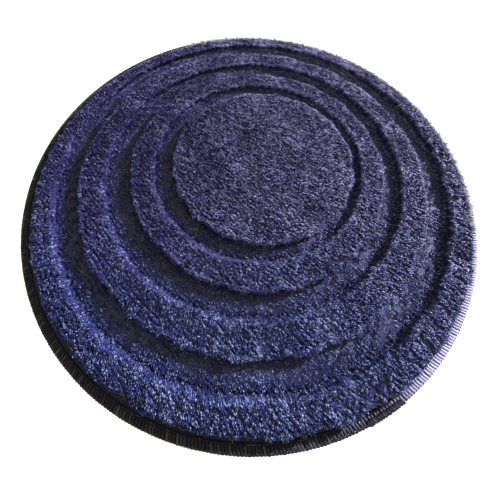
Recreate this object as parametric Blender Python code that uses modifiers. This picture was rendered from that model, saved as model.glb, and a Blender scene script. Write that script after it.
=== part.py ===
"""A round tufted bath mat, taken apart into the pieces it is made from.

From the floor up: a grip coating that keeps it from sliding, a woven backing cloth, and the pile
that is tufted into the cloth. The pile is cut tall in a centre disc and three rings, and short in
the three channels between them. Three overlock threads bind the rim, and their start and finish
lap over each other at one place. Metres, +Z up, origin at the centre of the underside.
"""

from math import cos, pi, radians, sin

import bmesh
import bpy
from mathutils import Matrix, Vector

# Overall size
MAT_RADIUS = 0.305
TALL_PILE = 0.0120
SHORT_PILE = 0.0050

# Layers under the pile
COATING_THICKNESS = 0.0012
CLOTH_THICKNESS = 0.0012

# Widths of the pile's bands, from the rim inwards; the centre disc takes what is left
OUTER_RING_WIDTH = 0.0305
OUTER_CHANNEL_WIDTH = 0.0295
MIDDLE_RING_WIDTH = 0.0315
MIDDLE_CHANNEL_WIDTH = 0.0280
INNER_RING_WIDTH = 0.0300
INNER_CHANNEL_WIDTH = 0.0200
PILE_EDGE = 0.0040

# The tufting drifts a little towards +X nearer the centre
DISC_DRIFT = 0.0120
INNER_RING_DRIFT = 0.0045

# Overlocked rim
OVERLOCK_WIDTH = 0.0065
THREAD_LAYER = 0.0012
THREAD_ROUNDING = 0.0007
NEEDLE_THREAD = 0.0009
LAP_LENGTH = 0.0380
LAP_WIDTH = 0.0055
LAP_LAYER = 0.0010
LAP_DIRECTION = radians(-64)

# Between pieces that touch
GAP = 0.0003

SEGMENTS = 64
CORNER_STEPS = 3

# Heights and radii that follow from the sizes above
CLOTH_BOTTOM = COATING_THICKNESS + GAP
CLOTH_TOP = CLOTH_BOTTOM + CLOTH_THICKNESS
PILE_BOTTOM = CLOTH_TOP + GAP
RIM_INSIDE = MAT_RADIUS - OVERLOCK_WIDTH
THREAD_WALL = MAT_RADIUS - THREAD_LAYER
LOOPERS_MEET = (CLOTH_BOTTOM + CLOTH_TOP) / 2


def make_collection(name):
    collection = bpy.data.collections.new(name)
    bpy.context.scene.collection.children.link(collection)
    return collection


def make_material(name, colour, roughness):
    material = bpy.data.materials.new(name)
    material.use_nodes = True
    shader = material.node_tree.nodes["Principled BSDF"]
    shader.inputs["Base Color"].default_value = (*colour, 1.0)
    shader.inputs["Roughness"].default_value = roughness
    shader.inputs["Metallic"].default_value = 0.0
    return material


def add_object(name, mesh, collection, material=None):
    piece = bpy.data.objects.new(name, mesh)
    collection.objects.link(piece)
    if material:
        mesh.materials.append(material)
    return piece


def turned(name, profile, closed, collection, material=None, centre_x=0.0):
    """A profile in the XZ plane turned about a vertical axis that stands at centre_x."""
    count = len(profile)
    edges = [(i, i + 1) for i in range(count - 1)]
    if closed:
        edges.append((count - 1, 0))
    mesh = bpy.data.meshes.new(name)
    mesh.from_pydata([(r, 0.0, z) for r, z in profile], edges, [])
    piece = add_object(name, mesh, collection, material)
    piece.location.x = centre_x
    screw = piece.modifiers.new("turn", "SCREW")
    screw.steps = SEGMENTS
    screw.render_steps = SEGMENTS
    screw.use_merge_vertices = True
    screw.merge_threshold = 0.00001
    screw.use_smooth_shade = True
    return piece


def corner(centre_r, centre_z, size, start, stop):
    """Points on a quarter turn about a point of the profile, from one angle to another."""
    angles = [start + (stop - start) * i / CORNER_STEPS for i in range(CORNER_STEPS + 1)]
    return [(centre_r + size * cos(a), centre_z + size * sin(a)) for a in angles]


def boolean(piece, cutter, operation):
    change = piece.modifiers.new(operation.lower(), "BOOLEAN")
    change.operation = operation
    change.solver = "EXACT"
    change.object = cutter


def hide_cutter(cutter):
    cutter.hide_render = True
    cutter.display_type = "WIRE"


def disc_profile(radius, bottom, top):
    return [(0.0, top), (radius, top), (radius, bottom), (0.0, bottom)]


def tall_disc(name, radius, centre_x, top, collection, material):
    """Tall pile from the axis out to a rounded edge."""
    edge = corner(radius - PILE_EDGE, top - PILE_EDGE, PILE_EDGE, pi / 2, 0.0)
    profile = [(0.0, top), *edge, (radius, PILE_BOTTOM), (0.0, PILE_BOTTOM)]
    return turned(name, profile, False, collection, material, centre_x)


def tall_ring(name, inside, outside, centre_x, top, collection, material):
    """Tall pile between two radii, rounded along both of its edges."""
    inner_edge = corner(inside + PILE_EDGE, top - PILE_EDGE, PILE_EDGE, pi, pi / 2)
    outer_edge = corner(outside - PILE_EDGE, top - PILE_EDGE, PILE_EDGE, pi / 2, 0.0)
    profile = [(inside, PILE_BOTTOM), *inner_edge, *outer_edge, (outside, PILE_BOTTOM)]
    return turned(name, profile, True, collection, material, centre_x)


def channel(name, inside, inside_x, outside, outside_x, collection, cutters, material):
    """Short pile that fills a channel, whose two sides may be drawn about different centres."""
    top = PILE_BOTTOM + SHORT_PILE
    profile = disc_profile(outside, PILE_BOTTOM, top)
    piece = turned(name, profile, False, collection, material, outside_x)
    hole = disc_profile(inside, PILE_BOTTOM - SHORT_PILE, top + SHORT_PILE)
    cutter = turned(name + "_hole", hole, False, cutters, None, inside_x)
    hide_cutter(cutter)
    boolean(piece, cutter, "DIFFERENCE")
    return piece


def build_base(parts, coating, cloth):
    """The grip coating stops inside the overlock; the cloth runs on into it."""
    coating_disc = disc_profile(RIM_INSIDE - GAP, 0.0, COATING_THICKNESS)
    turned("grip_coating", coating_disc, False, parts, coating)
    cloth_disc = disc_profile(THREAD_WALL - GAP, CLOTH_BOTTOM, CLOTH_TOP)
    turned("backing_cloth", cloth_disc, False, parts, cloth)


def build_pile(parts, cutters, yarn):
    """Tall and short bands side by side, each wall half a gap from the circle they share."""
    half = GAP / 2
    top = PILE_BOTTOM + TALL_PILE
    outer_out = RIM_INSIDE - GAP - NEEDLE_THREAD - GAP
    outer_in = outer_out - OUTER_RING_WIDTH
    middle_out = outer_in - OUTER_CHANNEL_WIDTH
    middle_in = middle_out - MIDDLE_RING_WIDTH
    inner_out = middle_in - MIDDLE_CHANNEL_WIDTH
    inner_in = inner_out - INNER_RING_WIDTH
    disc_out = inner_in - INNER_CHANNEL_WIDTH
    drift = INNER_RING_DRIFT

    tall_disc("center_disc_pile", disc_out - half, DISC_DRIFT, top, parts, yarn)
    tall_ring("inner_ring_pile", inner_in + half, inner_out - half, drift, top, parts, yarn)
    tall_ring("middle_ring_pile", middle_in + half, middle_out - half, 0.0, top, parts, yarn)
    tall_ring("outer_ring_pile", outer_in + half, outer_out, 0.0, top, parts, yarn)

    channels = (
        ("inner_channel_pile", disc_out, DISC_DRIFT, inner_in, drift),
        ("middle_channel_pile", inner_out, drift, middle_in, 0.0),
        ("outer_channel_pile", middle_out, 0.0, outer_in, 0.0),
    )
    for name, inside, inside_x, outside, outside_x in channels:
        walls = (inside + half, inside_x, outside - half, outside_x)
        channel(name, *walls, parts, cutters, yarn)


def build_overlock(parts, thread):
    """One looper thread lies under the rim, one over it, and they meet halfway up its edge."""
    half = GAP / 2
    turn = THREAD_ROUNDING
    thread_top = PILE_BOTTOM + THREAD_LAYER
    under = [
        (RIM_INSIDE, 0.0),
        (RIM_INSIDE, COATING_THICKNESS),
        (THREAD_WALL, COATING_THICKNESS),
        (THREAD_WALL, LOOPERS_MEET - half),
        (MAT_RADIUS, LOOPERS_MEET - half),
        *corner(MAT_RADIUS - turn, turn, turn, 0.0, -pi / 2),
    ]
    turned("overlock_lower_thread", under, True, parts, thread)
    over = [
        (RIM_INSIDE, PILE_BOTTOM),
        (RIM_INSIDE, thread_top),
        *corner(MAT_RADIUS - turn, thread_top - turn, turn, pi / 2, 0.0),
        (MAT_RADIUS, LOOPERS_MEET + half),
        (THREAD_WALL, LOOPERS_MEET + half),
        (THREAD_WALL, PILE_BOTTOM),
    ]
    turned("overlock_upper_thread", over, True, parts, thread)
    outside = RIM_INSIDE - GAP
    inside = outside - NEEDLE_THREAD
    seam_top = PILE_BOTTOM + NEEDLE_THREAD
    seam = [(inside, PILE_BOTTOM), (inside, seam_top), (outside, seam_top), (outside, PILE_BOTTOM)]
    turned("overlock_needle_thread", seam, True, parts, thread)


def build_lap(parts, cutters, thread):
    """Where the overlock ends it is sewn on over its own start: a second layer round the rim."""
    thread_top = PILE_BOTTOM + THREAD_LAYER
    inside = MAT_RADIUS - LAP_WIDTH
    wall = MAT_RADIUS + GAP
    turn = LAP_LAYER
    sleeve = [
        (inside, thread_top + GAP),
        (inside, thread_top + GAP + LAP_LAYER),
        *corner(wall, thread_top + GAP, turn, pi / 2, 0.0),
        (wall + LAP_LAYER, COATING_THICKNESS),
        (wall, COATING_THICKNESS),
        (wall, thread_top + GAP),
    ]
    lap = turned("overlock_lap", sleeve, True, parts, thread)
    block = bmesh.new()
    bmesh.ops.create_cube(block, size=1.0)
    reach = 4 * LAP_WIDTH
    place = Matrix.Rotation(LAP_DIRECTION, 4, "Z") @ Matrix.Translation((MAT_RADIUS, 0.0, 0.0))
    shape = Matrix.Diagonal(Vector((reach, LAP_LENGTH, reach, 1.0)))
    bmesh.ops.transform(block, matrix=place @ shape, verts=block.verts)
    mesh = bpy.data.meshes.new("overlock_lap_length")
    block.to_mesh(mesh)
    block.free()
    cutter = add_object("overlock_lap_length", mesh, cutters)
    hide_cutter(cutter)
    boolean(lap, cutter, "INTERSECT")


def main():
    for old in list(bpy.data.objects):
        bpy.data.objects.remove(old)
    parts = make_collection("bath_mat")
    cutters = make_collection("cutters")
    yarn = make_material("navy_pile_yarn", (0.028, 0.030, 0.115), 0.85)
    thread = make_material("navy_overlock_thread", (0.017, 0.018, 0.055), 0.50)
    cloth = make_material("navy_backing_cloth", (0.020, 0.021, 0.060), 0.90)
    coating = make_material("grey_grip_coating", (0.300, 0.310, 0.330), 0.70)
    build_base(parts, coating, cloth)
    build_pile(parts, cutters, yarn)
    build_overlock(parts, thread)
    build_lap(parts, cutters, thread)
    bpy.context.view_layer.update()


main()
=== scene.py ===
# %% [markdown]
# # A round tufted bath mat, finish and light
#
# The mat is a woven cloth with thousands of cut yarn tufts standing on it, tall in a centre disc
# and three rings, short in the channels between them. A grip coating covers its underside, and
# overlock stitches bind its rim. The solid model already says where each of these goes. This
# script loads it, puts real yarn, thread, weave and latex in place of the plain solids, and
# lights and frames the result.

from math import atan2, cos, pi, radians, sin, sqrt

import bpy
import numpy as np
from mathutils import Matrix, Vector


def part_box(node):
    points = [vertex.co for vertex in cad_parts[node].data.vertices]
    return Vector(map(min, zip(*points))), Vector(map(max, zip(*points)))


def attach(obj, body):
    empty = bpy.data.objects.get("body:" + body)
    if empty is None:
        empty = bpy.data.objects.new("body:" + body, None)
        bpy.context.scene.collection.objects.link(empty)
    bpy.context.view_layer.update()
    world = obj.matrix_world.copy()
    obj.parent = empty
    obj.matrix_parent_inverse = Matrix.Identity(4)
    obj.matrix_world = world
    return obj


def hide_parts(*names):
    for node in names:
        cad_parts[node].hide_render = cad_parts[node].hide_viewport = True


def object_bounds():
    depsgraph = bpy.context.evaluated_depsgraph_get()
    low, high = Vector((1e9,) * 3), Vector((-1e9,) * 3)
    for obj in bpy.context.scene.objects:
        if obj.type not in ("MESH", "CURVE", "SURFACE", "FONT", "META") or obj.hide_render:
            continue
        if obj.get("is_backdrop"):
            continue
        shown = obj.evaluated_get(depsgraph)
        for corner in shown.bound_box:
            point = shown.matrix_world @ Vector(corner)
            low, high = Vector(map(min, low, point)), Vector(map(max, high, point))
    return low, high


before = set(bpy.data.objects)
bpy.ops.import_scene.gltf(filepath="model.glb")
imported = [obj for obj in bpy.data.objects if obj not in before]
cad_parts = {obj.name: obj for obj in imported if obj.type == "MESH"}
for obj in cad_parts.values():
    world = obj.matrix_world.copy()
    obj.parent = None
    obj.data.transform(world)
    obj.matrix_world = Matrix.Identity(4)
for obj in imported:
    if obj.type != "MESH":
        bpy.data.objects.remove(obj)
cad_low, cad_high = (list(corner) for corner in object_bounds())
print("nodes:", ", ".join(sorted(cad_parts)))

# %% [markdown]
# ## Sizes read from the model
#
# Each band of pile ends where the next begins, so the outer circle of every band is enough to
# place them all: a band's inner circle is the outer circle of the band before it. A node's box
# gives that circle, because the box of a disc or ring touches it on all four sides. Reading the
# circles, and not typing them again, keeps the yarn in step with the solids.

# %% Circles of the bands
BODY = "root"
BANDS = ("center_disc", "inner_channel", "inner_ring", "middle_channel", "middle_ring",
         "outer_channel", "outer_ring")


def circle_of(node):
    """The centre's X and the radius of a round node, from its box."""
    low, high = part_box(node)
    return (low[0] + high[0]) / 2, (high[0] - low[0]) / 2


def levels_of(node):
    low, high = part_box(node)
    return low[2], high[2]


circles = [circle_of(band + "_pile") for band in BANDS]
mat_radius = circle_of("overlock_upper_thread")[1]
seam_radius = circle_of("overlock_needle_thread")[1]
cloth_low, cloth_high = levels_of("backing_cloth")
pile_foot = levels_of("center_disc_pile")[0]
for band, (centre, radius) in zip(BANDS, circles):
    print(f"{band}: outer radius {radius * 1000:.1f} mm, centre at x {centre * 1000:.1f} mm")

# %% [markdown]
# ## Shader maths as Python expressions
#
# A material's nodes are easier to read as a formula than as a list of links. `Wire` wraps an
# output socket and overloads the arithmetic operators, so `1 - mask * 0.5` adds two Math nodes.
# `Finish` owns one material: its `node` method makes any node from a type, its settings and the
# values or links of its sockets. Constants that are the same all over the surface are set on the
# shader itself, and stay unlinked.

# %% Wire and Finish
class Wire:
    """An output socket that can be used in arithmetic."""

    def __init__(self, finish, socket):
        self.finish, self.socket = finish, socket

    def math(self, operation, *values):
        return self.finish.node("ShaderNodeMath", {"operation": operation}, dict(enumerate(values)))

    def __add__(self, other):
        return self.math("ADD", self, other)

    def __radd__(self, other):
        return self.math("ADD", other, self)

    def __sub__(self, other):
        return self.math("SUBTRACT", self, other)

    def __rsub__(self, other):
        return self.math("SUBTRACT", other, self)

    def __mul__(self, other):
        return self.math("MULTIPLY", self, other)

    def __rmul__(self, other):
        return self.math("MULTIPLY", other, self)

    def __pow__(self, other):
        return self.math("POWER", self, other)

    def sine(self):
        return self.math("SINE", self)

    def clamped(self):
        return self.math("MAXIMUM", self.math("MINIMUM", self, 1.0), 0.0)


class Finish:
    """One material, made from constants on its shader and wires into a few of its sockets."""

    def __init__(self, name, constants):
        self.material = bpy.data.materials.new(name)
        self.material.use_nodes = True
        self.nodes = self.material.node_tree.nodes
        self.links = self.material.node_tree.links
        self.shader = self.nodes["Principled BSDF"]
        for socket, value in constants.items():
            self.shader.inputs[socket].default_value = value

    def plug(self, socket, value):
        """Links a wire to an input socket, or sets the socket to a value."""
        if isinstance(value, Wire):
            self.links.new(value.socket, socket)
        else:
            socket.default_value = value

    def node(self, kind, settings=None, sockets=None, output=0):
        """Makes a node: its settings first, then its sockets' values and links."""
        made = self.nodes.new(kind)
        for key, value in (settings or {}).items():
            if key == "stops":
                self.set_stops(made.color_ramp, value)
            else:
                setattr(made, key, value)
        for key, value in (sockets or {}).items():
            self.plug(made.inputs[key], value)
        return Wire(self, made.outputs[output])

    def set_stops(self, ramp, stops):
        while len(ramp.elements) < len(stops):
            ramp.elements.new(1.0)
        for element, (place, colour) in zip(ramp.elements, stops):
            element.position, element.color = place, (*colour, 1.0)

    def attribute(self, name):
        """A number that the mesh carries on its vertices."""
        return self.node("ShaderNodeAttribute", {"attribute_name": name}, output="Fac")

    def place(self):
        return self.node("ShaderNodeTexCoord", output="Object")

    def height_of(self, axis):
        """One coordinate of the point, in metres."""
        return self.node("ShaderNodeSeparateXYZ", {}, {0: self.place()}, output=axis)

    def drawn_out(self, turn, length):
        """The place, squeezed along one direction so that a texture on it is drawn out there."""
        sockets = {"Vector": self.place(), "Rotation": (0.0, 0.0, turn)}
        sockets["Scale"] = (length, 1.0, 1.0)
        return self.node("ShaderNodeMapping", {"vector_type": "TEXTURE"}, sockets)

    def noise(self, size, detail=2.0, roughness=0.5, place=None):
        """Noise from 0 to 1 whose blotches are about size metres across."""
        place = place or self.place()
        sockets = {"Vector": place, "Scale": 1 / size, "Detail": detail, "Roughness": roughness}
        return self.node("ShaderNodeTexNoise", {}, sockets)

    def mix(self, share, first, second):
        """A colour between two others."""
        first = first if isinstance(first, Wire) else (*first, 1.0)
        second = second if isinstance(second, Wire) else (*second, 1.0)
        sockets = {0: share, 6: first, 7: second}
        return self.node("ShaderNodeMix", {"data_type": "RGBA"}, sockets, output=2)

    def bump(self, height, depth, strength=1.0):
        sockets = {"Height": height, "Distance": depth, "Strength": strength}
        return self.node("ShaderNodeBump", {}, sockets)

    def feed(self, **wires):
        """Links wires to the shader: base_color=..., roughness=..., normal=..."""
        for name, wire in wires.items():
            self.plug(self.shader.inputs[name.replace("_", " ").title()], wire)
        return self.material


# %% [markdown]
# ## Finish of the pile yarn
#
# Cut microfibre yarn is navy and catches a pale lavender light on its tips. The colour runs from
# near black at the foot of a tuft to navy at its tip, which is painted shade deep in the pile, and
# pale specks on the tips are painted highlights. Each strand has a tone of its own, and slow
# blotches over the mat make it paler or darker at random.
# Sheen stands for the fuzz of single fibres, too fine to model. Towards the front of the mat a
# second set of colours takes over. That is painted light, not dye: it stays under other lamps.

# %% Pile yarn
NAP_DIRECTION = radians(-40)
yarn = Finish("navy_pile_yarn", {
    "Specular IOR Level": 0.8,
    "Specular Tint": (0.56, 0.56, 1.0, 1.0),
    "Sheen Weight": 0.25,
    "Sheen Roughness": 0.25,
    "Sheen Tint": (0.44, 0.44, 1.0, 1.0),
})
along = yarn.attribute("along")
tone = yarn.attribute("tone")
fibres = yarn.noise(0.0008, 2.0, 0.6, yarn.drawn_out(NAP_DIRECTION, 2.5))
front = (yarn.height_of("Y") * -8.0 - 1.1 + yarn.noise(0.060) * 0.8).clamped()
deep = yarn.mix(front, (0.014, 0.013, 0.054), (0.014, 0.020, 0.076))
middle = yarn.mix(front, (0.018, 0.018, 0.124), (0.011, 0.021, 0.116))
# The pale tip colour is a painted highlight.
light = yarn.mix(front, (0.61, 0.60, 1.00), (0.38, 0.46, 0.78))
# Tones above 1, given only to the stray ends, turn their tips near white: a painted backlit glow.
backlit_glow = ((tone - 1.0) * 2.0).clamped()
pale = yarn.mix(backlit_glow, light, (0.95, 0.92, 1.00))
# Negative tones, given only to the pad, make it matt and this darker colour: painted shade between
# the strands.
pad_shade = yarn.mix(front, (0.011, 0.011, 0.040), (0.015, 0.019, 0.064))
# The foot of each strand is darker than its tip: painted shade deep in the pile.
body_colour = yarn.mix((along * 1.6 - 0.2).clamped(), deep, middle)
# Pale specks on the tips of the paler strands: painted highlights.
specks = (fibres * 5.0 + tone * 5.0 - 4.6).clamped()
tip_share = (specks * along).clamped()
pad_matt_and_shade = (tone * -1.0).clamped()
yarn_material = yarn.feed(
    base_color=yarn.mix((pad_matt_and_shade * 2.0).clamped(), yarn.mix(tip_share, body_colour, pale), pad_shade),
    roughness=0.26 + fibres * 0.24 + pad_matt_and_shade * 0.5,
    normal=yarn.bump(fibres, 0.0005, 0.8),
)
print("pile yarn:", len(yarn.nodes), "nodes")

# %% [markdown]
# ## Finish of the overlock thread
#
# The rim is bound with textured polyester thread: many fine filaments that lie along the thread,
# here with weaker highlights than the pile. The filaments are a wave across its width, from
# the `around` value that each thread's mesh carries. The thread runs from near black to a pale
# lavender with its `tone`, and that tone is painted light and shade: pale only round the side of
# the rim that the low sun falls on, palest along the needle thread, and kept near black on the
# lower looper, the edge chain, the lap and its knot, where shade falls. Where the overlock ends it
# is also duller, so its lap has a finish of its own.

# %% Overlock thread
def thread_finish(name, shine):
    """Textured thread, for which shine is the level of its highlights."""
    thread = Finish(name, {"Specular IOR Level": shine, "Specular Tint": (0.80, 0.77, 1.0, 1.0)})
    filaments = (thread.attribute("around") * 60.0 + thread.noise(0.002) * 3.0).sine()
    thread_tone = thread.attribute("tone")
    return thread.feed(
        base_color=thread.mix(thread_tone.clamped(), (0.008, 0.008, 0.018), (0.420, 0.400, 0.600)),
        roughness=0.40 + filaments * 0.06,
        normal=thread.bump(filaments, 0.00012, 0.6),
    )


thread_material = thread_finish("navy_overlock_thread", 0.35)
lap_material = thread_finish("navy_lap_thread", 0.12)

# %% [markdown]
# ## Finishes of the cloth and the coating
#
# The backing cloth is a plain weave, about one thread per millimetre each way: two waves at right
# angles, multiplied. The coating is matt grey latex with a fine stipple.

# %% Cloth and coating
cloth = Finish("navy_backing_cloth", {"Specular IOR Level": 0.3})
wave_settings = {"wave_type": "BANDS", "bands_direction": "X", "wave_profile": "SIN"}
wave_sockets = {"Vector": cloth.place(), "Scale": 160.0, "Distortion": 1.0, "Detail": 1.0}
warp = cloth.node("ShaderNodeTexWave", wave_settings, wave_sockets, output=1)
weft_settings = wave_settings | {"bands_direction": "Y"}
weft = cloth.node("ShaderNodeTexWave", weft_settings, wave_sockets, output=1)
weave = warp * weft
cloth_material = cloth.feed(
    base_color=cloth.mix(weave, (0.010, 0.011, 0.030), (0.035, 0.037, 0.100)),
    roughness=0.95 - weave * 0.2,
    normal=cloth.bump(weave, 0.0003, 0.8),
)

coating = Finish("grey_grip_coating", {"Specular IOR Level": 0.4})
stipple = coating.noise(0.0012, 2.0)
smudge = coating.noise(0.060, 4.0)
coating_material = coating.feed(
    base_color=coating.mix(smudge, (0.26, 0.27, 0.29), (0.36, 0.37, 0.39)),
    roughness=0.62 + stipple * 0.2,
    normal=coating.bump(stipple, 0.0004, 0.7),
)

# %% [markdown]
# ## One mesh from many swept strands
#
# A tuft, a stitch and a thread are all the same shape to a computer: a short path with a small
# section swept along it. `sweep` makes thousands of them at once with numpy, because a Python
# loop over each vertex would be slow. `Heap` collects them and hands them to Blender as a single
# mesh, with the numbers that the finishes read and a UV map that gives each strand a cell of its
# own, so that its colours can be baked.

# %% Heap and sweep
BAKE_MAP = "OFBake"
PAD_STRIP = 0.12


class Heap:
    """Vertices and faces gathered for one mesh."""

    def __init__(self):
        self.points, self.loops, self.totals, self.uvs = [], [], [], []
        self.values = {"along": [], "tone": [], "around": []}
        self.count = 0

    def add(self, points, loops, totals, uvs, **values):
        self.points.append(points)
        self.loops.append(loops + self.count)
        self.totals.append(totals)
        self.uvs.append(uvs)
        for name, kept in self.values.items():
            kept.append(np.broadcast_to(values.get(name, 0.0), len(points)))
        self.count += len(points)

    def build(self, name, material):
        points = np.concatenate(self.points)
        loops = np.concatenate(self.loops)
        totals = np.concatenate(self.totals)
        mesh = bpy.data.meshes.new(name)
        mesh.vertices.add(len(points))
        mesh.vertices.foreach_set("co", points.astype(np.float32).ravel())
        mesh.loops.add(len(loops))
        mesh.loops.foreach_set("vertex_index", loops.astype(np.int32))
        mesh.polygons.add(len(totals))
        starts = np.cumsum(totals) - totals
        mesh.polygons.foreach_set("loop_start", starts.astype(np.int32))
        uv_layer = mesh.uv_layers.new(name=BAKE_MAP)
        uv_layer.uv.foreach_set("vector", np.concatenate(self.uvs).astype(np.float32).ravel())
        for key, kept in self.values.items():
            layer = mesh.attributes.new(key, "FLOAT", "POINT")
            layer.data.foreach_set("value", np.concatenate(kept).astype(np.float32))
        mesh.update(calc_edges=True)
        mesh.shade_smooth()
        mesh.materials.append(material)
        piece = bpy.data.objects.new(name, mesh)
        bpy.context.scene.collection.objects.link(piece)
        print(f"{name}: {len(points)} vertices, {len(totals)} faces")
        return piece


def unit(vectors):
    return vectors / np.maximum(np.linalg.norm(vectors, axis=-1, keepdims=True), 1e-12)


def strand_pattern(steps, sides, pointed):
    """Faces of one strand, and each corner's place in its UV cell."""
    faces, uvs = [], []
    rings = steps - 1 if pointed else steps
    for k in range(rings - 1):
        for s in range(sides):
            t = (s + 1) % sides
            faces.append((k * sides + s, k * sides + t, (k + 1) * sides + t, (k + 1) * sides + s))
            low, high = k / (steps - 1), (k + 1) / (steps - 1)
            left, right = s / sides, (s + 1) / sides
            uvs.append(((left, low), (right, low), (right, high), (left, high)))
    last = (rings - 1) * sides
    low = (rings - 1) / (steps - 1)
    if pointed:
        for s in range(sides):
            faces.append((last + s, last + (s + 1) % sides, last + sides))
            uvs.append(((s / sides, low), ((s + 1) / sides, low), ((s + 0.5) / sides, 1.0)))
    caps = [tuple(reversed(range(sides)))]
    if not pointed:
        caps.append(tuple(range(last, last + sides)))
    turns = [2 * pi * s / sides for s in range(sides)]
    for n, cap in enumerate(caps):
        faces.append(cap)
        uvs.append([(0.05 * cos(a) + 0.06, 0.02 * sin(a) + 0.03 + 0.9 * n) for a in turns])
    loops = np.array([v for face in faces for v in face])
    totals = np.array([len(face) for face in faces])
    return loops, totals, np.array([corner for face in uvs for corner in face])


def sweep(heap, paths, radii, sides, facing, pointed=False, flatness=1.0, tone=0.0, floor=0.0):
    """Adds a strand along each path. Sections are ellipses, flattened towards facing."""
    count, steps = paths.shape[:2]
    tangents = unit(np.gradient(paths, axis=1))
    across = unit(np.cross(tangents, np.broadcast_to(facing, tangents.shape)))
    upward = np.cross(across, tangents)
    turns = 2 * pi * np.arange(sides) / sides
    sizes = radii[:, :, None, None]
    cosines, sines = (wave(turns)[None, None, :, None] for wave in (np.cos, np.sin))
    rings = (
        paths[:, :, None, :]
        + sizes * cosines * across[:, :, None, :]
        + sizes * flatness * sines * upward[:, :, None, :]
    )
    along = np.broadcast_to(np.linspace(0, 1, steps)[None, :, None], (count, steps, sides))
    around = np.broadcast_to((np.cos(turns) / 2 + 0.5)[None, None, :], (count, steps, sides))
    if pointed:
        points = np.concatenate([rings[:, :-1].reshape(count, -1, 3), paths[:, -1:, :]], axis=1)
        along = np.concatenate([along[:, :-1].reshape(count, -1), np.ones((count, 1))], axis=1)
        tips_around = np.full((count, 1), 0.5)
        around = np.concatenate([around[:, :-1].reshape(count, -1), tips_around], axis=1)
    else:
        points = rings.reshape(count, -1, 3)
        along, around = along.reshape(count, -1), around.reshape(count, -1)
    loops, totals, cell = strand_pattern(steps, sides, pointed)
    each = points.shape[1]
    starts = np.arange(count)[:, None] * each
    columns = int(np.ceil(sqrt(count * 2)))
    rows = int(np.ceil(count / columns))
    margin = 0.08
    inside = cell * (1 - 2 * margin) + margin
    corner = np.stack([np.arange(count) % columns, np.arange(count) // columns], axis=1)
    uvs = (corner[:, None, :] + inside[None, :, :]) / (columns, rows)
    uvs[:, :, 1] = floor + uvs[:, :, 1] * (1 - floor)
    heap.add(
        points.reshape(-1, 3),
        (starts + loops[None, :]).ravel(),
        np.tile(totals, count),
        uvs.reshape(-1, 2),
        along=along.ravel(),
        around=around.ravel(),
        tone=np.repeat(np.broadcast_to(tone, count), each),
    )


# %% [markdown]
# ## Slow, smooth randomness
#
# Tufting wanders: edges wobble, and the nap leans one way here and another there. A sum of a few
# plane waves with random directions gives a smooth field for that, quickly and the same on every
# run.

# %% Ripple
WOBBLE = 0.0011
RIM_INSET = 0.0065
RIM_DRIFT = 0.0030


def ripple(x, y, size, seed):
    """A smooth field between about -1 and 1 that changes over a distance of size."""
    rng = np.random.default_rng(seed)
    total = np.zeros_like(x)
    waves = 9
    for _ in range(waves):
        heading = rng.uniform(0, 2 * pi)
        pace = 2 * pi / (size * rng.uniform(1.2, 3.0))
        total += np.sin(pace * (x * cos(heading) + y * sin(heading)) + rng.uniform(0, 2 * pi))
    return total / sqrt(waves / 2) / 1.6


def combed(x, y):
    """The same places, squeezed along the nap, so that a ripple over them is drawn out that way."""
    with_nap = (x * cos(NAP_DIRECTION) + y * sin(NAP_DIRECTION)) * 0.4
    return with_nap, y * cos(NAP_DIRECTION) - x * sin(NAP_DIRECTION)


def edge_distance(x, y, number):
    """How far a point lies inside the outer circle of a band, whose line wobbles a little."""
    centre, radius = circles[number]
    turn = np.arctan2(y, x - centre)
    at_x, at_y = radius * np.cos(turn), radius * np.sin(turn)
    wobble = ripple(at_x, at_y, 0.020, 40 + number) + 0.6 * ripple(at_x, at_y, 0.006, 60 + number)
    if number == len(circles) - 1:
        radius = radius - RIM_INSET + RIM_DRIFT * np.cos(turn - NAP_DIRECTION)
    return radius + WOBBLE * wobble - np.hypot(x - centre, y)


# %% [markdown]
# ## Where the tufts stand
#
# A tufting machine works in rows, 4 mm apart, and makes a tuft every 2.6 mm along a row. The rows
# here run the way the nap leans, which draws the light on the pile out into fine streaks. They
# wander by about a millimetre, and every tuft is a little out of line.

# %% Tuft feet
ROW_GAUGE = 0.0040
STITCH = 0.0026
ROW_WANDER = 0.0011
NAP_TURN = radians(-42)


def tuft_feet():
    """Feet of all the tufts over the whole mat."""
    rng = np.random.default_rng(7)
    reach = circles[-1][1]
    rows = np.arange(-reach, reach, ROW_GAUGE)
    stitches = np.arange(-reach, reach, STITCH)
    u, v = np.meshgrid(stitches, rows)
    u = u + (np.arange(len(rows)) % 2)[:, None] * STITCH / 2
    u, v = u.ravel(), v.ravel()
    u = u + rng.normal(0, 0.16 * STITCH, u.shape)
    v = v + rng.normal(0, 0.13 * ROW_GAUGE, v.shape) + ROW_WANDER * ripple(u, v, 0.010, 19)
    return u * cos(NAP_TURN) - v * sin(NAP_TURN), u * sin(NAP_TURN) + v * cos(NAP_TURN)


feet_x, feet_y = tuft_feet()
print(len(feet_x), "tufts before the bands are cut out")

# %% [markdown]
# ## A dark pad between the strands
#
# Only a share of the real yarn ends can be modelled, so light would show between them. A pad of
# the same yarn, a few millimetres below the tips, closes the view. Its negative tone makes it matt
# and darker than the strands, which is painted shade between them. It is a plain turned body, and
# it lies a little inside its band.

# %% Pad
PAD_SEGMENTS = 128
PAD_INSET = 0.0022
PAD_SHOULDER = 0.0040
# The negative tone makes the pad matt and dark: painted shade.
PAD_ALONG, PAD_TONE = 0.40, -0.5
PAD_BELOW_TALL, PAD_BELOW_SHORT = 0.0040, 0.0027


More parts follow.
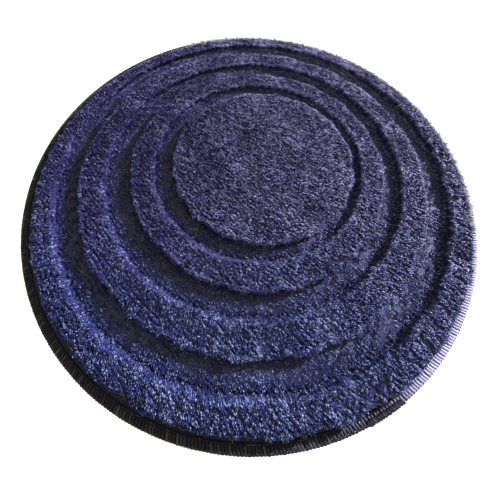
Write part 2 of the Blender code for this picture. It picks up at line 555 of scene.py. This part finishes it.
def pad(heap, number, top):
    """A closed pad inside a band, whose strip of the bake map lies below the strands' cells."""
    turn = 2 * pi * np.arange(PAD_SEGMENTS) / PAD_SEGMENTS

    def ring(which, change, height):
        centre, radius = circles[which]
        if which == len(circles) - 1:
            change = change - RIM_INSET + RIM_DRIFT * np.cos(turn - NAP_DIRECTION)
        reach = radius + change
        x, y = centre + reach * np.cos(turn), reach * np.sin(turn)
        return np.column_stack([x, y, np.full_like(turn, height)])

    low = top - PAD_SHOULDER
    foot = pile_foot
    rings = [ring(number, -PAD_INSET, foot), ring(number, -PAD_INSET, low),
             ring(number, -PAD_SHOULDER, top)]
    if number:
        rings += [ring(number - 1, PAD_SHOULDER, top), ring(number - 1, PAD_INSET, low),
                  ring(number - 1, PAD_INSET, foot)]
    count = len(rings)
    loops, totals, uvs = [], [], []
    for k in range(count if number else count - 1):
        this, after = k % count * PAD_SEGMENTS, (k + 1) % count * PAD_SEGMENTS
        bottom, ceiling = PAD_STRIP * 0.5 * k / count, PAD_STRIP * 0.5 * (k + 0.9) / count
        for s in range(PAD_SEGMENTS):
            t = (s + 1) % PAD_SEGMENTS
            loops += [this + s, this + t, after + t, after + s]
            totals.append(4)
            left, right = s / PAD_SEGMENTS, (s + 1) / PAD_SEGMENTS
            uvs += [(left, bottom), (right, bottom), (right, ceiling), (left, ceiling)]
    if not number:
        size = PAD_STRIP * 0.2
        underside, upper_side = range(PAD_SEGMENTS)[::-1], range(2 * PAD_SEGMENTS, 3 * PAD_SEGMENTS)
        for n, corners in enumerate((underside, upper_side)):
            loops += corners
            totals.append(PAD_SEGMENTS)
            left, low_edge = (1 + 3 * n) * size, PAD_STRIP * 0.55 + size
            uvs += [(left + size * cos(a), low_edge + size * sin(a)) for a in turn]
    points = np.concatenate(rings)
    heap.add(points, np.array(loops), np.array(totals), np.array(uvs), along=PAD_ALONG,
             tone=PAD_TONE)


# %% [markdown]
# ## The shape of the pile
#
# Each tuft needs a height and a lean. Tall bands are shorn flat and rounded along their edges.
# All the yarn leans a little to one side, the nap, which changes slowly from patch to patch, and
# where the mat has been rolled up the outer ring has broken open in short radial partings.

# %% Height and lean
EDGE_ROUND = 0.0025
CREST_ROUND = 0.0060
RIM_ROUND = 0.0090
EDGE_INSET = 0.0007
SECOND_INSET = 0.0026
EDGE_STITCH = 0.0022
NAP_LEAN = 0.55
SUNLIT_SIDE = radians(50)
PARTINGS = radians(-66), radians(8), 13
PARTING_WIDTH = 0.0032
PARTING_DEPTH = 0.0045
PARTING_LEAN = 0.45
WAVE_HEIGHT = 0.0005
FURROW_DEPTH = 0.0008
SHEAR_ALLOWANCE = 0.0006
SHEAR_SPREAD = 0.0003
SHORT_ALLOWANCE = 0.0008


def parting(x, y):
    """How deep in a radial parting a point lies, from 0 to 1, and which way leads out of it."""
    rng = np.random.default_rng(31)
    first, last, count = PARTINGS
    depth, way = np.zeros_like(x), np.zeros((len(x), 2))
    for n in range(count):
        angle = first + (last - first) * (n + rng.uniform(0.2, 0.8)) / count
        skew = angle + rng.uniform(-0.35, 0.35)
        start = rng.uniform(0.84, 0.93) * mat_radius
        end = start + rng.uniform(0.03, 0.10) * mat_radius
        from_x, from_y = x - start * cos(angle), y - start * sin(angle)
        along_line = from_x * cos(skew) + from_y * sin(skew)
        across = -from_x * sin(skew) + from_y * cos(skew)
        inside = np.clip(np.minimum(along_line, end - start - along_line) / 0.004 + 1, 0, 1)
        near = np.clip(1 - np.abs(across) / PARTING_WIDTH, 0, 1) * inside
        depth = np.maximum(depth, near)
        way += near[:, None] * np.sign(across)[:, None] * np.array([[-sin(skew), cos(skew)]])
    return depth, way


def shorn_height(top, edge, rounding, x, y, rng):
    """Height of each tuft: level, rounded along the edges, with shallow waves."""
    into = np.clip(rounding - edge, 0, rounding)
    drop = rounding - np.sqrt(rounding ** 2 - into ** 2)
    waves = WAVE_HEIGHT * ripple(x, y, 0.024, 15)
    waves = waves + FURROW_DEPTH * ripple(*combed(x, y), 0.0032, 17)
    return top - SHEAR_ALLOWANCE + waves - 0.7 * drop + rng.normal(0, SHEAR_SPREAD, len(x))


def nap(x, y, rng):
    """Lean of each tuft, as the sideways travel for each metre of height."""
    patch_x = 0.15 * ripple(x, y, 0.032, 11) + 0.12 * ripple(x, y, 0.008, 12)
    patch_y = 0.15 * ripple(x, y, 0.032, 13) + 0.12 * ripple(x, y, 0.008, 14)
    lean_x, lean_y = NAP_LEAN * cos(NAP_DIRECTION), NAP_LEAN * sin(NAP_DIRECTION)
    lean = np.stack([lean_x + patch_x, lean_y + patch_y], axis=1)
    return lean + rng.normal(0, 0.06, (len(x), 2))


# %% [markdown]
# ## Strands of a tuft
# A tuft is a handful of cut yarn ends that fan out as they rise. Each end is a short bent strand
# with a small blunt tip. Inside a band only its upper part can be seen, so it starts part of the
# way up. Along an edge it goes down to the cloth, and becomes the wall of the band. Most strands
# are deep navy and a few are much paler, as painted highlights for the low light that cut yarn
# catches on some ends. How many are pale also depends on the place: more on the disc, to the back,
# on the rim and the tall edges that face the low sun, fewer to the left and right and in the low
# channels. This too is painted light and shade, and stays under other lamps. On the sunlit side of
# the rim some fine single ends stand out from the pile, tinted near white as a painted backlit
# glow.

# %% Strands
STRANDS = 9
STRAND_RADIUS = 0.00050
FAN = 0.0016
RIDGE = 0.0010
TALL_REACH = 0.0055
SHORT_REACH = 0.0036
MOST_STRANDS = 19500
STRAY_ENDS = 7000
STRAY_RADIUS = 0.00045
# A tone above 1 turns the stray ends near white: a painted backlit glow.
STRAY_TONE = 1.6
BEND_SPREAD = 0.09
TALL_TONE, SHORT_TONE, DISC_PALER = 0.28, 0.20, 0.12
EDGE_PALER, EDGE_FADE = 0.07, 0.010
TONE_OFFSET = 0.26
STREAK_TONE, PATCH_TONE = 0.16, 0.10
CREST_START, CREST_PALER = 0.68, 0.6
LEFT_DARKER, RIGHT_DARKER, BACK_PALER = 0.26, 0.12, 0.20
TUFT_SPREAD, STRAND_SPREAD = 0.08, 0.28


def strand_paths(x, y, height, lean, edge, tall, rng):
    """Three points for each strand of each tuft: its foot, its shoulder and its tip."""
    tufts = len(x)
    turn = np.arange(STRANDS)[None, :] * 2 * pi / STRANDS + rng.uniform(0, 2 * pi, (tufts, 1))
    turn = turn + rng.normal(0, 0.3, (tufts, STRANDS))
    size = FAN * np.sqrt(rng.uniform(0.15, 1.0, (tufts, STRANDS)))
    fan = np.stack([1.05 * np.cos(turn) * size, 0.85 * np.sin(turn) * size], axis=2)
    foot = np.stack([x, y], axis=1)[:, None, :] + fan * 0.6
    longest = height - pile_foot - 0.0003
    seen = np.where(edge < EDGE_ROUND, longest, TALL_REACH if tall else SHORT_REACH)
    tip_z = height[:, None] + rng.normal(0, 0.0003, (tufts, STRANDS))
    tip_z = tip_z - RIDGE * (fan[:, :, 1] / FAN) ** 2
    foot_z = np.broadcast_to((height - np.minimum(seen, longest))[:, None], tip_z.shape)
    bend = lean[:, None, :] + rng.normal(0, BEND_SPREAD, (tufts, STRANDS, 2))
    rise = np.minimum(tip_z - foot_z, TALL_REACH)[:, :, None]
    shoulder = foot + fan * 0.35 + bend * rise * 0.75
    tip = foot + fan * 0.45 + bend * rise * 1.05
    levels = [foot_z, foot_z + 0.82 * (tip_z - foot_z), tip_z]
    flat = (foot, shoulder, tip)
    points = [np.concatenate([p, z[:, :, None]], axis=2) for p, z in zip(flat, levels)]
    return np.stack(points, axis=2).reshape(tufts * STRANDS, 3, 3)


def edge_feet(number, inset, rng):
    """A line of tufts just inside a band's outer circle, or outside it for a negative inset."""
    centre, radius = circles[number]
    count = int(2 * pi * radius / EDGE_STITCH)
    turn = (np.arange(count) + rng.uniform(-0.25, 0.25, count)) * 2 * pi / count
    x, y = centre + radius * np.cos(turn), radius * np.sin(turn)
    reach = radius + edge_distance(x, y, number) - inset + rng.normal(0, 0.0002, count)
    return centre + reach * np.cos(turn), reach * np.sin(turn)


def tuft_tones(x, y, level, rng):
    """How pale each strand is, by its level, by streaks and patches, and by its place: painted
    light.
    """
    slow = level - TONE_OFFSET + STREAK_TONE * ripple(*combed(x, y), 0.0040, 16)
    slow = slow + PATCH_TONE * ripple(x, y, 0.030, 18)
    # Painted light: more pale ends on the strip of the mat that faces the low sun and to the back,
    # fewer to the left and right.
    sun_facing = (x * cos(SUNLIT_SIDE) + y * sin(SUNLIT_SIDE)) / mat_radius
    slow = slow + CREST_PALER * np.clip(sun_facing - CREST_START, 0, 1)
    slow = slow - np.where(x < 0, -LEFT_DARKER, RIGHT_DARKER) * x / mat_radius
    slow = slow + BACK_PALER * np.clip(y / mat_radius, 0, 1)
    tufts = slow + rng.normal(0, TUFT_SPREAD, len(x))
    strands = np.repeat(tufts, STRANDS) + rng.exponential(STRAND_SPREAD, len(x) * STRANDS)
    return np.clip(strands, 0, 1)


def finish_pile(heap, name, node):
    piece = heap.build(name, yarn_material)
    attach(piece, BODY)
    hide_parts(node)
    return piece


def stray_ends():
    """Fine ends standing out from the pile along the sunlit rim, near white as a painted glow."""
    node = BANDS[-1] + "_pile"
    top = levels_of(node)[1]
    heap = Heap()
    rng = np.random.default_rng(90)
    count = STRAY_ENDS
    turn = SUNLIT_SIDE + rng.uniform(-1.2, 1.2, count)
    reach = circles[-1][1] - RIM_INSET + RIM_DRIFT * np.cos(turn - NAP_DIRECTION)
    reach = reach - rng.uniform(0, 0.005, count)
    outward = np.stack([np.cos(turn), np.sin(turn)], axis=1)
    sideways = np.stack([-np.sin(turn), np.cos(turn)], axis=1)
    lean = outward * rng.uniform(0.003, 0.0085, (count, 1))
    lean = lean + sideways * rng.normal(0, 0.0012, (count, 1))
    clumps = 0.7 + 0.9 * ripple(turn * mat_radius, turn * 0, 0.0045, 44)
    lean = lean * np.clip(clumps, 0.1, 1.4)[:, None]
    rise = top - rng.uniform(-0.0005, 0.0035, count)
    points = []
    for share in (0.0, 0.6, 1.0):
        flat = outward * reach[:, None] + lean * share ** 1.5
        points.append(np.column_stack([flat, rise - 0.004 * (1 - share)]))
    radii = np.full((count, 1), STRAY_RADIUS) * np.array([1.0, 0.9, 0.2])[None, :]
    facing = unit(np.column_stack([sideways, np.zeros(count)]))[:, None, :]
    sweep(heap, np.stack(points, axis=1), radii, 3, facing, pointed=True,
          tone=STRAY_TONE)
    return finish_pile(heap, "outer_ring_stray_ends", node)


def tuft_band(number):
    """All strands of one band, shared among as many pieces as MOST_STRANDS asks for."""
    name = BANDS[number]
    node = name + "_pile"
    top = levels_of(node)[1]
    tall = "channel" not in name
    rng = np.random.default_rng(100 + number)
    outside = edge_distance(feet_x, feet_y, number)
    inside = -edge_distance(feet_x, feet_y, number - 1) if number else np.full_like(feet_x, 1.0)
    rim = name == "outer_ring"
    inner_side = outside > inside
    edge = np.minimum(outside, inside)
    keep = edge > 0.0013
    x, y, edge, inner_side = feet_x[keep], feet_y[keep], edge[keep], inner_side[keep]
    lines = [(number, EDGE_INSET), (number - 1, -EDGE_INSET)]
    if tall:
        lines += [(number, SECOND_INSET), (number - 1, -SECOND_INSET)]
    for which, inset in lines:
        if which >= 0:
            line_x, line_y = edge_feet(which, inset, rng)
            x, y = np.concatenate([x, line_x]), np.concatenate([y, line_y])
            edge = np.concatenate([edge, np.full(len(line_x), abs(inset))])
            inner_side = np.concatenate([inner_side, np.full(len(line_x), which < number)])
    sun_facing = (x * cos(SUNLIT_SIDE) + y * sin(SUNLIT_SIDE)) / np.hypot(x, y)
    sun_facing = np.clip(np.where(inner_side, -sun_facing, sun_facing), 0, 1)
    rounding = (EDGE_ROUND + (CREST_ROUND - EDGE_ROUND) * sun_facing) * tall
    if rim:
        rounding = np.where(inner_side, rounding, RIM_ROUND)
    height = shorn_height(top, edge, rounding, x, y, rng) - (0.0 if tall else SHORT_ALLOWANCE)
    lean = nap(x, y, rng)
    if rim:
        lean = lean * np.where(inner_side, 1, np.clip(edge / RIM_ROUND, 0.2, 1))[:, None]
        depth, way = parting(x, y)
        height = height - PARTING_DEPTH * depth
        lean = lean + way * PARTING_LEAN
    paths = strand_paths(x, y, height, lean, edge, tall, rng)
    count = len(paths)
    radii = STRAND_RADIUS * rng.uniform(0.8, 1.15, (count, 1)) * np.array([0.9, 1.0, 0.2])[None, :]
    if not tall:
        radii = radii * 0.85
    facing = unit(np.column_stack([rng.normal(0, 1, (count, 2)), np.zeros(count)]))[:, None, :]
    # Painted light and shade: fewer pale ends in the low channels, more along tall edges that face
    # the low sun, and more on the disc.
    level = SHORT_TONE
    if tall:
        level = TALL_TONE + EDGE_PALER * sun_facing * np.clip(1 - edge / EDGE_FADE, 0, 1)
    tones = tuft_tones(x, y, level + (0.0 if number else DISC_PALER), rng)
    shares = int(np.ceil(count / MOST_STRANDS))
    pieces = []
    for n in range(shares):
        mine = np.arange(count) * shares // count == n
        heap = Heap()
        if n == 0:
            pad(heap, number, top - (PAD_BELOW_TALL if tall else PAD_BELOW_SHORT))
        sweep(heap, paths[mine], radii[mine], 3, facing[mine], pointed=True, tone=tones[mine],
              floor=PAD_STRIP)
        title = f"{name}_tufts_{n + 1}" if shares > 1 else f"{name}_tufts"
        pieces.append(finish_pile(heap, title, node))
    return pieces


pile = [piece for number in range(len(BANDS)) for piece in tuft_band(number)]
pile.append(stray_ends())

# %% [markdown]
# ## The overlocked rim
#
# Three threads bind the rim. Two loopers wrap it, one above and one below, and lock into each
# other in a little chain along the very edge; the needle thread holds them down along a circle
# just inside. Each stitch is a strand swept along its own path, 3.3 mm from the next, so
# the edge gets the ribs and small scallops that a plain ring could not have.

# %% Overlock threads
STITCH_PITCH = 0.0033
THREAD_HALF = 0.00055
THREAD_SPREAD = 0.00126
# Thread tones are painted light and shade: the needle thread is palest, and the chain, the lower
# looper, the lap and the knot stay near black where shade falls.
CHAIN_TONE, LOWER_TONE, NEEDLE_TONE, LAP_TONE, KNOT_TONE = 0.05, 0.1, 1.0, 0.08, 0.1
stitches = int(2 * pi * mat_radius / STITCH_PITCH)
upper_low, upper_high = levels_of("overlock_upper_thread")
needle_low, needle_high = levels_of("overlock_needle_thread")


def round_rim(angles, radii, heights):
    """Points from cylindrical coordinates, with radii and heights spread over the angles."""
    radii, heights = np.broadcast_to(radii, angles.shape), np.broadcast_to(heights, angles.shape)
    return np.stack([radii * np.cos(angles), radii * np.sin(angles), heights], axis=-1)


def sunlit(angles):
    """Share of paler thread round the rim, highest on the sunlit side: painted light."""
    return np.clip(6 * np.cos(angles - SUNLIT_SIDE + 0.35) + 0.3, 0, 1)


def wraps(heap, profile, slant, first, rng, angles=None, level=0.9):
    """One looper's wraps over the rim. The profile is a list of (radius, height)."""
    pitch = 2 * pi / stitches
    if angles is None:
        angles = (np.arange(stitches) + first) * pitch
    count = len(angles)
    radii = np.array([r for r, _ in profile])[None, :] + rng.normal(0, 0.00012, (count, 1))
    heights = np.array([z for _, z in profile])[None, :] + rng.normal(0, 0.00006, (count, 1))
    shift = np.linspace(-0.5, 0.5, len(profile))[None, :] * slant * pitch
    turns = angles[:, None] + shift + rng.normal(0, 0.06, (count, 1)) * pitch
    paths = round_rim(turns, radii, heights)
    tangent = np.stack([-np.sin(turns), np.cos(turns), np.zeros_like(turns)], axis=-1)
    course = unit(np.gradient(paths, axis=1))
    facing = np.cross(tangent, course)
    width = THREAD_SPREAD * rng.uniform(0.92, 1.06, (count, 1))
    taper = np.ones(len(profile))
    taper[0], taper[-1] = 0.75, 0.7
    sweep(heap, paths, width * taper[None, :], 8, facing, flatness=THREAD_HALF / THREAD_SPREAD,
          tone=sunlit(angles) * level + rng.normal(0, 0.06, count))


def chain(heap, radius, height, bulge, first, rng, thickness, level=0.9):
    """A row of short stitches that follow a circle, each bulging a little from it."""
    pitch = 2 * pi / stitches
    steps = 5
    share = np.linspace(0, 1, steps)[None, :]
    turns = (np.arange(stitches)[:, None] + first + share * 1.08) * pitch
    rise = np.sin(pi * share)
    radii = radius + bulge[0] * rise + rng.normal(0, 0.00008, (stitches, 1))
    heights = height + bulge[1] * rise + np.zeros((stitches, 1))
    paths = round_rim(turns, radii, heights)
    sizes = thickness * (0.75 + 0.25 * rise) * np.ones((stitches, 1))
    tones = sunlit(turns[:, 0]) * level + rng.normal(0, 0.06, stitches)
    sweep(heap, paths, sizes, 6, np.array([0.0, 0.0, 1.0]), tone=tones)


def finish_rim(heap, name, node, material=thread_material):
    piece = heap.build(name, material)
    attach(piece, BODY)
    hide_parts(node)
    return piece


half = THREAD_HALF
upper_profile = [
    (seam_radius - half, cloth_high + 0.6 * half),
    (seam_radius + 3 * half, upper_high - 1.1 * half),
    (mat_radius - 5 * half, upper_high - 0.4 * half),
    (mat_radius - 2.6 * half, upper_high - 0.6 * half),
    (mat_radius - 1.1 * half, upper_low + 1.6 * half),
    (mat_radius - 1.2 * half, upper_low),
]
lower_profile = [
    (seam_radius + half, half * 1.4),
    (mat_radius - 5 * half, half * 1.4),
    (mat_radius - 2.2 * half, half * 1.6),
    (mat_radius - 1.2 * half, upper_low - 1.2 * half),
    (mat_radius - 1.2 * half, upper_low),
]
upper_heap = Heap()
rng_upper = np.random.default_rng(21)
wraps(upper_heap, upper_profile, 0.9, 0.0, rng_upper)
edge_place = (mat_radius - 0.8 * half, upper_low + 0.0002, (0.8 * half, 0.0))
chain(upper_heap, *edge_place, 0.5, rng_upper, 1.2 * half, level=CHAIN_TONE)
upper = finish_rim(upper_heap, "overlock_upper_stitches", "overlock_upper_thread")

lower_heap = Heap()
wraps(lower_heap, lower_profile, -0.9, 0.5, np.random.default_rng(22), level=LOWER_TONE)
lower = finish_rim(lower_heap, "overlock_lower_stitches", "overlock_lower_thread")

needle_heap = Heap()
needle_middle = (needle_low + needle_high) / 2
seam_place = (seam_radius - half, needle_middle, (0.0, 0.8 * half))
chain(needle_heap, *seam_place, 0.0, np.random.default_rng(23), 1.1 * half, level=NEEDLE_TONE)
needle = finish_rim(needle_heap, "overlock_needle_stitches", "overlock_needle_thread")

# %% [markdown]
# ## The lap in the overlock
#
# The overlock ends on top of its own start, so over a few centimetres there is a second layer of
# wraps. The last of them is drawn to a knot that stands about 1.5 mm proud of the edge.

# %% Lap
lap_low, lap_high = (np.array(corner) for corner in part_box("overlock_lap"))
lap_middle = (lap_low + lap_high) / 2
lap_turn = atan2(lap_middle[1], lap_middle[0])
lap_length = float(np.hypot(*(lap_high - lap_low)[:2])) * 0.86
lap_span = lap_length / mat_radius
lap_count = int(lap_length / (STITCH_PITCH * 0.75))
lap_angles = lap_turn + np.linspace(-0.5, 0.5, lap_count) * lap_span
lap_profile = [(r + (0.0011 if z < upper_high - half * 1.2 else 0.0004), z + 0.0010)
               for r, z in upper_profile[1:4]]
lap_profile += [(mat_radius + half * 0.9, upper_low + 1.6 * half),
                (mat_radius + half * 0.8, lap_low[2] + half)]
lap_heap = Heap()
rng_lap = np.random.default_rng(24)
# The lap stays near black: painted shade from the pile.
wraps(lap_heap, lap_profile, 1.2, 0.0, rng_lap, lap_angles, level=LAP_TONE)
knot_turns = lap_turn + lap_span * np.array([[0.50, 0.515, 0.53, 0.545]])
knot_path = round_rim(knot_turns, np.full((1, 4), mat_radius + half * 0.6),
                      np.array([[upper_low, upper_low + half, upper_low + half, upper_low]]))
knot_sizes = np.array([[1.0, 2.0, 2.1, 0.9]]) * half
sweep(lap_heap, knot_path, knot_sizes, 8, np.array([0.0, 0.0, 1.0]), tone=KNOT_TONE)
lap = finish_rim(lap_heap, "overlock_lap_stitches", "overlock_lap", lap_material)

# %% [markdown]
# ## The backing cloth
#
# The cloth is a flat round of plain weave under everything else, 607 mm across as cut. It is a
# grid bent into a disc, with each row of tufts pressing it up a little, and a Solidify modifier for
# its thickness.

# %% Backing cloth
def disc_grid(name, radius, rings, segments, height):
    """A disc of rings and spokes whose height is a function of place."""
    turn = 2 * pi * np.arange(segments) / segments
    reach = radius * (np.arange(1, rings + 1) / rings)
    x = np.concatenate([[0.0], (reach[:, None] * np.cos(turn)).ravel()])
    y = np.concatenate([[0.0], (reach[:, None] * np.sin(turn)).ravel()])
    points = np.column_stack([x, y, height(x, y)])
    faces = [(0, 1 + s, 1 + (s + 1) % segments) for s in range(segments)]
    for k in range(rings - 1):
        a, b = 1 + k * segments, 1 + (k + 1) * segments
        sides = [(s, (s + 1) % segments) for s in range(segments)]
        faces += [(a + s, b + s, b + t, a + t) for s, t in sides]
    mesh = bpy.data.meshes.new(name)
    mesh.from_pydata(points.tolist(), [], faces)
    mesh.shade_smooth()
    piece = bpy.data.objects.new(name, mesh)
    bpy.context.scene.collection.objects.link(piece)
    return piece


def thicken(piece, thickness, offset):
    solid = piece.modifiers.new("thickness", "SOLIDIFY")
    solid.thickness, solid.offset = thickness, offset


def cloth_height(x, y):
    rows = np.sin(2 * pi * y / (2 * ROW_GAUGE)) * 0.00005
    return cloth_high + rows


cloth_radius = circle_of("backing_cloth")[1]
cloth_piece = disc_grid("backing_cloth_sheet", cloth_radius, 70, 160, cloth_height)
thicken(cloth_piece, cloth_high - cloth_low, -1.0)
cloth_piece.data.materials.append(cloth_material)
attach(cloth_piece, BODY)
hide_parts("backing_cloth")

# %% [markdown]
# ## The grip coating
#
# Under the mat the backs of the stitches show through the latex as rows of small ribs. The
# coating is the same kind of disc, whose underside rises by a fraction of a millimetre between
# the ribs, so that only the ribs touch the floor.

# %% Grip coating
RIB_HEIGHT = 0.00045
coat_low, coat_high = levels_of("grip_coating")
coat_radius = circle_of("grip_coating")[1]


def coat_height(x, y):
    over_rows = y * cos(NAP_TURN) - x * sin(NAP_TURN)
    along_rows = x * cos(NAP_TURN) + y * sin(NAP_TURN)
    rows = 0.5 - 0.5 * np.cos(2 * pi * over_rows / (2 * ROW_GAUGE))
    stitches_back = 0.5 - 0.5 * np.cos(2 * pi * along_rows / (4 * STITCH))
    return coat_low + RIB_HEIGHT * (1 - rows * (0.6 + 0.4 * stitches_back))


coat_piece = disc_grid("grip_coating_layer", coat_radius, 160, 300, coat_height)
coat_piece.data.flip_normals()
thicken(coat_piece, coat_high - coat_low - 0.0005, -1.0)
coat_piece.data.materials.append(coating_material)
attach(coat_piece, BODY)
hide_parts("grip_coating")

# %% [markdown]
# ## Floor and light
#
# The floor is plain and pale. One low sun from behind and to the right rakes over the pile, and a
# weak even sky keeps the hollows from going fully black. A photographer would flag the hard light
# off the paper and light the paper by itself, and light linking does the same here: the low sun
# skips the floor, and a second, very soft sun from above lights only the floor. The sky's light is
# a little warm, against the blue of the yarn, and a Mix node shows the camera a plain white one.

# %% Floor
bpy.ops.mesh.primitive_plane_add(size=12.0, location=(0.0, 0.0, cad_low[2] - 0.0004))
floor = bpy.context.object
floor.name = "studio_floor"
floor_finish = Finish("pale_floor", {"Specular IOR Level": 0.1})
floor_finish.feed(
    base_color=floor_finish.mix(floor_finish.noise(0.8), (0.90, 0.90, 0.90), (0.93, 0.93, 0.93)),
    roughness=0.85 + floor_finish.noise(0.4) * 0.1,
)
floor.data.materials.append(floor_finish.material)
floor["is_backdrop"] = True
floor.visible_diffuse = floor.visible_glossy = False

# %% Light
scene = bpy.context.scene
scene.view_settings.view_transform = "Standard"
world = bpy.data.worlds.new("studio")
world.use_nodes = True
SKY_STRENGTH = 0.70
sky = world.node_tree.nodes["Background"]
sky.inputs["Strength"].default_value = SKY_STRENGTH
behind = world.node_tree.nodes.new("ShaderNodeMix")
behind.data_type = "RGBA"
behind.inputs[6].default_value = (1.0, 0.96, 0.64, 1.0)
behind.inputs[7].default_value = (1 / SKY_STRENGTH, 1 / SKY_STRENGTH, 1 / SKY_STRENGTH, 1.0)
seen_directly = world.node_tree.nodes.new("ShaderNodeLightPath").outputs["Is Camera Ray"]
world.node_tree.links.new(seen_directly, behind.inputs[0])
world.node_tree.links.new(behind.outputs[2], sky.inputs["Color"])
scene.world = world


def sun(name, turn, rise, energy, spread, on_floor, colour=(1.0, 1.0, 1.0)):
    """A sun that lights the floor alone, or everything but the floor."""
    data = bpy.data.lights.new(name, "SUN")
    data.energy, data.angle, data.color = energy, spread, colour
    lamp = bpy.data.objects.new(name, data)
    scene.collection.objects.link(lamp)
    towards = Vector((cos(turn) * cos(rise), sin(turn) * cos(rise), sin(rise)))
    lamp.rotation_euler = towards.to_track_quat("Z", "Y").to_euler()
    linked = bpy.data.collections.new(name + "_lights")
    linked.objects.link(floor)
    linked.collection_objects[0].light_linking.link_state = "INCLUDE" if on_floor else "EXCLUDE"
    lamp.light_linking.receiver_collection = linked
    return lamp


KEY_TURN, KEY_RISE, KEY_SPREAD = radians(35), radians(19.5), radians(2)
KEY_COLOUR = (0.89, 0.90, 1.0)
sun("key", KEY_TURN, KEY_RISE, 13.0, KEY_SPREAD, on_floor=False, colour=KEY_COLOUR)
sun("floor_light", KEY_TURN, radians(75), 3.4, radians(60), on_floor=True)

# %% Camera
CAMERA_PITCH = radians(62.14)
CAMERA_ROLL = radians(3.3)
camera_data = bpy.data.cameras.new("camera")
camera_data.sensor_width = 36.0
camera_data.lens = 16.05
camera_data.shift_y = -0.13
camera_data.clip_start = 0.01
camera = bpy.data.objects.new("camera", camera_data)
scene.collection.objects.link(camera)
eye = Vector((-0.010, -0.625, 0.904)) * mat_radius
ahead = Vector((0.0, cos(CAMERA_PITCH), -sin(CAMERA_PITCH)))
side = Vector((1.0, 0.0, 0.0))
above = side.cross(ahead)
rolled_side = side * cos(CAMERA_ROLL) + above * sin(CAMERA_ROLL)
rolled_above = above * cos(CAMERA_ROLL) - side * sin(CAMERA_ROLL)
facing = Matrix((rolled_side, rolled_above, -ahead)).transposed()
camera.matrix_world = Matrix.Translation(eye) @ facing.to_4x4()
scene.camera = camera
